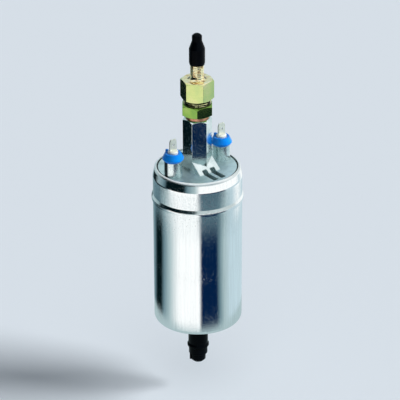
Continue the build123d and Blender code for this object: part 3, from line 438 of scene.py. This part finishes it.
def drawn_steel():
    steel = Finish(bpy.data.materials.new("drawn_steel"))
    lines = steel.noise(scale=900, detail=3, roughness=0.6, stretch=(1, 1, 0.03))
    grain = steel.noise(scale=2600, detail=2, roughness=0.6)
    dents = steel.noise(scale=60, stretch=(1, 1, 0.5))
    cloud = steel.noise(scale=34, detail=3, roughness=0.6, stretch=(1, 1, 1.6))
    speckle = steel.noise(scale=1150, detail=3, roughness=0.7, stretch=(1, 1, 0.7))
    haze = cloud.between(0.5, 0.68)
    mottle = speckle.between(0.50, 0.64)
    top = steel.height().between(*TOP_WEAR_STARTS) - steel.height().between(*TOP_WEAR_ENDS)
    clamped = (
        steel.height().between(*CLAMP_WEAR_STARTS) - steel.height().between(*CLAMP_WEAR_ENDS)
    )
    worn = 0.4 * haze + 0.8 * top + 0.8 * clamped
    lip = steel.height().between(*LIP_FOOT)
    clean = steel.ramp(lines, (DARK_END, DRAWN_DARK), (PALE_END, DRAWN_PALE))
    tone = steel.mix(0.5 * grain.between(0.45, 0.6) * top, clean, SCUFFED)
    polish = 0.03 + 0.04 * grain + 0.04 * lines
    rough = polish + 0.05 * worn + mottle * (0.11 + 0.06 * worn) + 0.26 * lip
    fine_relief = steel.bump(grain, distance=0.00003, strength=0.35)
    relief = steel.bump(dents, distance=0.0001, strength=0.2, under=fine_relief)
    return steel.surface(Base_Color=tone, Metallic=1.0, Roughness=rough, Normal=relief)


finished("can", material=drawn_steel())


# Inlet cover: turned aluminium with the hose tail in one piece, as are the stage's port
# plate and the valve's spring retainer. The turning tool's marks run round each of them.
TURNED_DARK = (0.66, 0.68, 0.70)
TURNED_PALE = (0.80, 0.82, 0.83)
EDGE_BREAK = 0.0003


def turned_aluminium():
    alloy = Finish(bpy.data.materials.new("turned_aluminium"))
    rings = alloy.noise(scale=3000, detail=2, roughness=0.7, stretch=(0.02, 0.02, 1))
    tone = alloy.ramp(rings, (0.3, TURNED_DARK), (0.7, TURNED_PALE))
    rough = 0.22 + 0.15 * rings
    relief = alloy.bump(rings, distance=0.00002, strength=0.4, under=alloy.rounded(EDGE_BREAK))
    return alloy.surface(Base_Color=tone, Metallic=1.0, Roughness=rough, Normal=relief)


finished("inlet_cover", "port_plate", "spring_retainer", material=turned_aluminium())


# Screen, seals and pump stage: sheet with punched holes, rubber cords, and rotors and ring
# pressed from steel powder and ground on their faces. Bought screws and balls go with them.
STAGE_STEELS = (
    # material, colour, roughness, nodes
    ("screen_steel", (0.70, 0.71, 0.72), 0.25, ["inlet_screen"]),
    ("sintered_steel", (0.42, 0.42, 0.43), 0.38, ["pump_ring", "outer_rotor", "inner_rotor"]),
    ("black_steel", (0.16, 0.16, 0.17), 0.35, ["stage_screws", "terminal_nuts"]),
    ("ball_steel", (0.86, 0.87, 0.88), 0.08, ["relief_ball", "check_ball"]),
)
RUBBER = (0.02, 0.02, 0.02)
GROUND_EDGE_BREAK = 0.00015


def ground_steel(name, colour, roughness, grain_scale=1800):
    steel = Finish(bpy.data.materials.new(name))
    grain = steel.noise(scale=grain_scale, detail=3, roughness=0.65)
    dark = tuple(channel * 0.82 for channel in colour)
    tone = steel.ramp(grain, (DARK_END, dark), (PALE_END, colour))
    rough = roughness * 0.8 + roughness * 0.5 * grain
    edges = steel.rounded(GROUND_EDGE_BREAK)
    relief = steel.bump(grain, distance=0.00002, strength=0.4, under=edges)
    return steel.surface(Base_Color=tone, Metallic=1.0, Roughness=rough, Normal=relief)


def moulded(name, colour, roughness):
    plastic = Finish(bpy.data.materials.new(name))
    grain = plastic.noise(scale=1400, detail=2)
    cloud = plastic.noise(scale=120, detail=3)
    dark = tuple(channel * 0.85 for channel in colour)
    tone = plastic.ramp(cloud, (DARK_END, dark), (PALE_END, colour))
    rough = roughness * 0.85 + roughness * 0.3 * grain
    relief = plastic.bump(grain, distance=0.00002, strength=0.4)
    return plastic.surface(Base_Color=tone, Roughness=rough, Normal=relief)


for name, colour, roughness, nodes in STAGE_STEELS:
    finished(*nodes, material=ground_steel(name, colour, roughness))
finished("inlet_seal", "outlet_seal", material=moulded("seal_rubber", RUBBER, 0.6))


# Springs: coils of hard wire that press the two balls on their seats and the two brushes on
# the commutator. The magnets' clips are bent from the same wire, and don't move.
SPRINGS = (
    # node, joint that squashes it, height of its fixed end, travel
    ("relief_spring", "relief_valve_lift", -0.03595, 0.0015),
    ("check_spring", "check_valve_lift", 0.0973, 0.0030),
    ("brush_spring_left", "left_brush_lift", 0.0502, 0.0018),
    ("brush_spring_right", "right_brush_lift", 0.0502, 0.0018),
)
hard_wire = ground_steel("spring_steel", (0.62, 0.62, 0.61), 0.3)
finished("magnet_clips", material=hard_wire)
for spring, joint, fixed_end, travel in SPRINGS:
    finished(spring, material=hard_wire)
    coil = bpy.data.objects.new(spring + "_coil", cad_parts[spring].data.copy())
    bpy.context.scene.collection.objects.link(coil)
    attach(coil, "pump")
    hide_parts(spring)
    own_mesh(coil)


# Motor: a rolled flux ring with two ferrite magnets round a slotted armature, whose wire
# heads are potted in resin. A flat commutator of copper segments sits on its upper end.
flux_steel = ground_steel("flux_steel", (0.50, 0.51, 0.50), 0.35, grain_scale=900)
shaft_steel = ground_steel("shaft_steel", (0.75, 0.76, 0.77), 0.15)
bronze = ground_steel("bronze", (0.62, 0.43, 0.22), 0.42)
laminations = ground_steel("lamination_steel", (0.40, 0.41, 0.43), 0.4)
winding_copper = ground_steel("winding_copper", (0.66, 0.26, 0.10), 0.32)
ferrite = moulded("ferrite", (0.09, 0.09, 0.10), 0.5)
brown_moulding = moulded("brown_moulding", (0.14, 0.06, 0.035), 0.4)
pale_moulding = moulded("pale_moulding", (0.76, 0.72, 0.62), 0.45)
carbon = moulded("carbon", (0.035, 0.035, 0.04), 0.55)
finished("flux_ring", material=flux_steel)
finished("magnets", material=ferrite)
finished("shaft", material=shaft_steel)
finished("lower_bush", "upper_bush", material=bronze)
finished("armature_core", material=laminations)
finished("armature_windings", material=winding_copper)
finished("commutator_hub", material=brown_moulding)
finished("thrust_washers", "brush_holder", "terminal_spacers", material=pale_moulding)
finished("brush_left", "brush_right", material=carbon)


# Copper parts: the straps and commutator segments inside, and the soft ring that seals the
# valve on the tower, which is stamped from sheet and squeezed dull where it is clamped.
COPPER_DULL = (0.50, 0.17, 0.09)
COPPER_CLEAN = (0.82, 0.38, 0.24)
COPPER_BRIGHT = (0.93, 0.55, 0.38)


def soft_copper():
    copper = Finish(bpy.data.materials.new("soft_copper"))
    cloud = copper.noise(scale=260, detail=3, roughness=0.6)
    stops = (DARK_END, COPPER_DULL), (0.5, COPPER_CLEAN), (0.68, COPPER_BRIGHT)
    tone = copper.ramp(cloud, *stops)
    rough = 0.24 + 0.2 * cloud
    grain = copper.noise(scale=1500, detail=2)
    relief = copper.bump(grain, distance=0.00003, strength=0.4, under=copper.rounded(EDGE_BREAK))
    return copper.surface(Base_Color=tone, Metallic=1.0, Roughness=rough, Normal=relief)


copper_nodes = ("commutator_segments", "contact_straps", "sealing_washer")
finished(*copper_nodes, material=soft_copper())


# Outlet cover: die-cast alloy, blasted to a fine even grain and left bare. Roof, posts,
# buttresses and hexagonal tower are one casting, and the can's lip holds its edge. The roof is
# dusty, the slots in the tower's foot are painted darker as shade in the recesses, and the
# groove at the lip is painted dark as its shadow.
SKIN_DARK = (0.60, 0.70, 0.70)
SKIN_PALE = (0.90, 0.96, 0.96)
DUST_DARK = (0.52, 0.66, 0.67)
DUST_PALE = (0.74, 0.88, 0.89)
# Painted shade in the slots, and a painted shadow in the groove at the lip.
SLOT_PAINTED_SHADE = (0.42, 0.50, 0.51)
GROOVE_PAINTED_SHADOW = (0.03, 0.04, 0.04)

# Distances from the pump's axis, and heights, between which one finish turns into the next.
TOWER_REACH = (0.0086, 0.0090)
GROOVE_REACH = (0.0227, 0.0230)
ROOF_TOP = (0.05817, 0.05847)
SLOT_TOP = (0.05587, 0.05777)


def cast_alloy():
    alloy = Finish(bpy.data.materials.new("cast_alloy"))
    grain = alloy.noise(scale=1500, detail=3, roughness=0.7)
    pits = alloy.noise(scale=700, detail=2)
    cloud = alloy.noise(scale=110, detail=4, roughness=0.6)
    speck = alloy.noise(scale=1300, detail=2, roughness=0.6).between(0.50, 0.64)
    posts = alloy.reach().between(*TOWER_REACH)
    groove = alloy.reach().between(*GROOVE_REACH)
    roof = 1 - alloy.height().between(*ROOF_TOP)
    slot = 1 - alloy.height().between(*SLOT_TOP)
    skin = alloy.ramp(cloud, (DARK_END, SKIN_DARK), (PALE_END, SKIN_PALE))
    dust = alloy.ramp(cloud, (DARK_END, DUST_DARK), (PALE_END, DUST_PALE))
    # The slots get painted shade, and the groove at the lip gets a painted shadow.
    bare = alloy.mix(slot, alloy.mix(roof, skin, dust), SLOT_PAINTED_SHADE)
    tone = alloy.mix(groove, bare, GROOVE_PAINTED_SHADOW)
    rough = 0.05 + 0.05 * grain + 0.11 * speck + 0.14 * posts + 0.28 * roof
    pitted = alloy.bump(pits, distance=0.00006, strength=0.25, under=alloy.rounded(EDGE_BREAK))
    relief = alloy.bump(grain, distance=0.00004, strength=0.4, under=pitted)
    return alloy.surface(Base_Color=tone, Metallic=1.0, Roughness=rough, Normal=relief)


finished("outlet_cover", material=cast_alloy())


# Terminals and insulators: tinned blades with a round foot, each standing in the dish of a
# blue moulded collar that carries it through its post and keeps it off the cover.
BLUE_DARK = (0.0, 0.21, 0.80)
BLUE_PALE = (0.0, 0.27, 0.90)
BLUE_EDGE_BREAK = 0.0002
TIN_DARK = (0.78, 0.80, 0.68)
TIN_PALE = (0.97, 0.98, 0.90)
BLADE_FOOT = (0.0735, 0.0738)


def blue_moulding():
    plastic = Finish(bpy.data.materials.new("blue_moulding"))
    cloud = plastic.noise(scale=150, detail=2)
    grain = plastic.noise(scale=1200, detail=2)
    tone = plastic.ramp(cloud, (DARK_END, BLUE_DARK), (PALE_END, BLUE_PALE))
    rough = 0.26 + 0.08 * cloud
    edges = plastic.rounded(BLUE_EDGE_BREAK)
    relief = plastic.bump(grain, distance=0.00002, strength=0.3, under=edges)
    return plastic.surface(Base_Color=tone, Roughness=rough, Normal=relief, IOR=1.35)


def tinned():
    tin = Finish(bpy.data.materials.new("tinned_blade"))
    cloud = tin.noise(scale=400, detail=3, roughness=0.6)
    foot = 1 - tin.height().between(*BLADE_FOOT)
    tone = tin.ramp(cloud, (DARK_END, TIN_DARK), (PALE_END, TIN_PALE))
    metal = 0.85 - 0.6 * foot
    rough = 0.26 + 0.12 * cloud
    relief = tin.bump(cloud, distance=0.00004, strength=0.4, under=tin.rounded(EDGE_BREAK))
    return tin.surface(Base_Color=tone, Metallic=metal, Roughness=rough, Normal=relief)


finished("insulator_left", "insulator_right", material=blue_moulding())
finished("terminal_left", "terminal_right", material=tinned())


# Valve body and adapter: turned hexagons of steel with a yellow chromate over zinc, whose
# thin film runs from straw to green over a few millimetres. The outlet stub is brown in blots,
# with painted shadows at its foot, and the valve's collar and flange are painted dark as shade
# under the hexagons.
GREEN_FILM = ((0.34, (0.20, 0.38, 0.09)), (0.50, (0.26, 0.43, 0.09)), (0.68, (0.36, 0.50, 0.14)))
STRAW_FILM = (
    (0.32, (0.56, 0.68, 0.28)),
    (0.48, (0.68, 0.74, 0.29)),
    (0.62, (0.78, 0.74, 0.36)),
    (0.75, (0.84, 0.66, 0.42)),
)
STUB_FILM = (
    (0.32, (0.30, 0.18, 0.07)),
    (0.40, (0.92, 0.66, 0.36)),
    (0.5, (0.96, 0.86, 0.50)),
    (0.65, (1.0, 0.94, 0.66)),
)
# Its near-black stop is painted shade on the collar's thread, between bright gold patches.
GOLD_FILM_AND_PAINTED_SHADE = ((0.48, (0.02, 0.02, 0.01)), (0.58, (0.98, 0.90, 0.52)))
# Painted shade on the valve's collar and flange, under the hexagons.
HEX_PAINTED_SHADE = (0.05, 0.05, 0.02)
# Two painted shadows on the adapter's top, at the stub's foot.
FOOT_PAINTED_SHADOW = (0.03, 0.02, 0.01)
FOOT_SHADOW_EDGE = (0.0008, 0.0017)
FOOT_SHADOW_MIDDLES = ((-0.00337, 0.00268, 0.1137), (0.0032, -0.00256, 0.1139))
STUB_FOOT = (0.1128, 0.1133)
COLLAR_FOOT = (0.0981, 0.0984)
COLLAR_TOP = (0.10135, 0.10155)
FLANGE_TOP = (0.09087, 0.09117)


def chromate(name, film, patch_scale=95, stub_film=None, hex_shade=None):
    """Yellow film over zinc, with another film on the stub and painted shadows at its foot, or
    painted shade on collar and flange.
    """
    plated = Finish(bpy.data.materials.new(name))
    patches = plated.noise(scale=patch_scale, detail=2)
    rings = plated.noise(scale=2400, detail=2, roughness=0.6, stretch=(0.03, 0.03, 1))
    tone = plated.ramp(patches, *film)
    if stub_film:
        blots = plated.noise(scale=420, detail=3, roughness=0.6)
        stub = plated.height().between(*STUB_FOOT)
        tone = plated.mix(stub, tone, plated.ramp(blots, *stub_film))
        # Painted shadows at the stub's foot.
        for middle in FOOT_SHADOW_MIDDLES:
            sockets = {0: plated.place(), 1: middle}
            gap = plated.node("VectorMath", {"operation": "DISTANCE"}, sockets, output="Value")
            tone = plated.mix(gap.between(*FOOT_SHADOW_EDGE), FOOT_PAINTED_SHADOW, tone)
    # Collar and flange are painted dark as shade under the hexagons.
    if hex_shade:
        collar = plated.height().between(*COLLAR_FOOT) - plated.height().between(*COLLAR_TOP)
        flange = 1 - plated.height().between(*FLANGE_TOP)
        tone = plated.mix(collar + flange, tone, hex_shade)
    rough = 0.10 + 0.10 * rings
    edges = plated.rounded(EDGE_BREAK)
    relief = plated.bump(rings, distance=0.00002, strength=0.25, under=edges)
    return plated.surface(Base_Color=tone, Metallic=1.0, Roughness=rough, Normal=relief)


straw_chromate = chromate("straw_chromate", STRAW_FILM, stub_film=STUB_FILM)
gold_chromate_and_shade = chromate("gold_chromate_and_shade", GOLD_FILM_AND_PAINTED_SHADE, patch_scale=330)
green_chromate = chromate("green_chromate", GREEN_FILM, hex_shade=HEX_PAINTED_SHADE)
finished("check_valve_body", material=green_chromate)
finished("outlet_adapter", material=straw_chromate)


# Threads: rolled ridges round the outlet stub, for the fuel line's union, and round the
# valve's upper collar, where the adapter's lock leaves a few turns open to view.
STEPS_PER_TURN = 40
RIDGE_SIDES = 6
THREAD_SIZES = ("Radius", "Pitch", "Turns", "Start", "Ridge")
STUB_THREAD = dict(Radius=0.00370, Pitch=0.0010, Turns=14.0, Start=0.1157, Ridge=0.00028)
COLLAR_THREAD = dict(Radius=0.00785, Pitch=0.0011, Turns=2.0, Start=0.0987, Ridge=0.00030)


def screw_thread():
    """A tree that lays a ridge along a helix round the pump's axis."""
    tree = bpy.data.node_groups.new("screw_thread", "GeometryNodeTree")
    for label in THREAD_SIZES:
        tree.interface.new_socket(label, in_out="INPUT", socket_type="NodeSocketFloat")
    tree.interface.new_socket("Finish", in_out="INPUT", socket_type="NodeSocketMaterial")
    tree.interface.new_socket("Geometry", in_out="OUTPUT", socket_type="NodeSocketGeometry")
    entry = tree.nodes.new("NodeGroupInput").outputs

    def step(kind, sockets, **settings):
        made = tree.nodes.new(kind)
        for name, value in settings.items():
            setattr(made, name, value)
        for name, value in sockets.items():
            if isinstance(value, bpy.types.NodeSocket):
                tree.links.new(value, made.inputs[name])
            else:
                made.inputs[name].default_value = value
        return made.outputs[0]

    pitch_and_turns = {0: entry["Pitch"], 1: entry["Turns"]}
    length = step("ShaderNodeMath", pitch_and_turns, operation="MULTIPLY")
    helix = step(
        "GeometryNodeCurveSpiral",
        {
            "Resolution": STEPS_PER_TURN,
            "Rotations": entry["Turns"],
            "Start Radius": entry["Radius"],
            "End Radius": entry["Radius"],
            "Height": length,
        },
    )
    start = step("ShaderNodeCombineXYZ", {"Z": entry["Start"]})
    raised = step("GeometryNodeSetPosition", {"Geometry": helix, "Offset": start})
    level = step("GeometryNodeSetCurveNormal", {"Curve": raised}, mode="Z_UP")
    outline = {"Resolution": RIDGE_SIDES, "Radius": entry["Ridge"]}
    ridge = step("GeometryNodeCurvePrimitiveCircle", outline)
    swept = {"Curve": level, "Profile Curve": ridge, "Fill Caps": True}
    rolled = step("GeometryNodeCurveToMesh", swept)
    real = step("GeometryNodeRealizeInstances", {"Geometry": rolled})
    coat = {"Geometry": real, "Material": entry["Finish"]}
    coated = step("GeometryNodeSetMaterial", coat)
    tree.links.new(coated, tree.nodes.new("NodeGroupOutput").inputs["Geometry"])
    return tree


def grown(name, tree, inputs):
    """A plain mesh made by a node tree, standing at the origin."""
    seed = bpy.data.objects.new(name + "_seed", bpy.data.meshes.new(name + "_seed"))
    bpy.context.scene.collection.objects.link(seed)
    maker = seed.modifiers.new("maker", "NODES")
    maker.node_group = tree
    for item in tree.interface.items_tree:
        if item.in_out == "INPUT":
            maker[item.identifier] = inputs[item.name]
    shape = seed.evaluated_get(bpy.context.evaluated_depsgraph_get())
    mesh = bpy.data.meshes.new_from_object(shape)
    bpy.data.objects.remove(seed)
    piece = bpy.data.objects.new(name, mesh)
    bpy.context.scene.collection.objects.link(piece)
    return piece


thread_tree = screw_thread()
for name, sizes, coat in (
    ("stub_thread", STUB_THREAD, straw_chromate),
    ("collar_thread", COLLAR_THREAD, gold_chromate_and_shade),
):
    thread = grown(name, thread_tree, {**sizes, "Finish": coat})
    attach(thread, "pump")


# Protection caps: thin black plastic, dipped and soft, pushed over the outlet stub and the
# hose tail for transport. They are glossy, with a slightly uneven skin.
VINYL_DARK = (0.0005, 0.001, 0.002)
VINYL_PALE = (0.001, 0.002, 0.004)


def black_vinyl():
    vinyl = Finish(bpy.data.materials.new("black_vinyl"))
    skin = vinyl.noise(scale=260, detail=2, stretch=(1, 1, 0.5))
    return vinyl.surface(
        Base_Color=vinyl.ramp(skin, (0.3, VINYL_DARK), (0.7, VINYL_PALE)),
        Roughness=0.22 + 0.12 * skin,
        Normal=vinyl.bump(skin, distance=0.00010, strength=0.25),
        IOR=1.3,
        Specular_IOR_Level=0.12,
    )


finished("outlet_cap", "inlet_cap", material=black_vinyl())
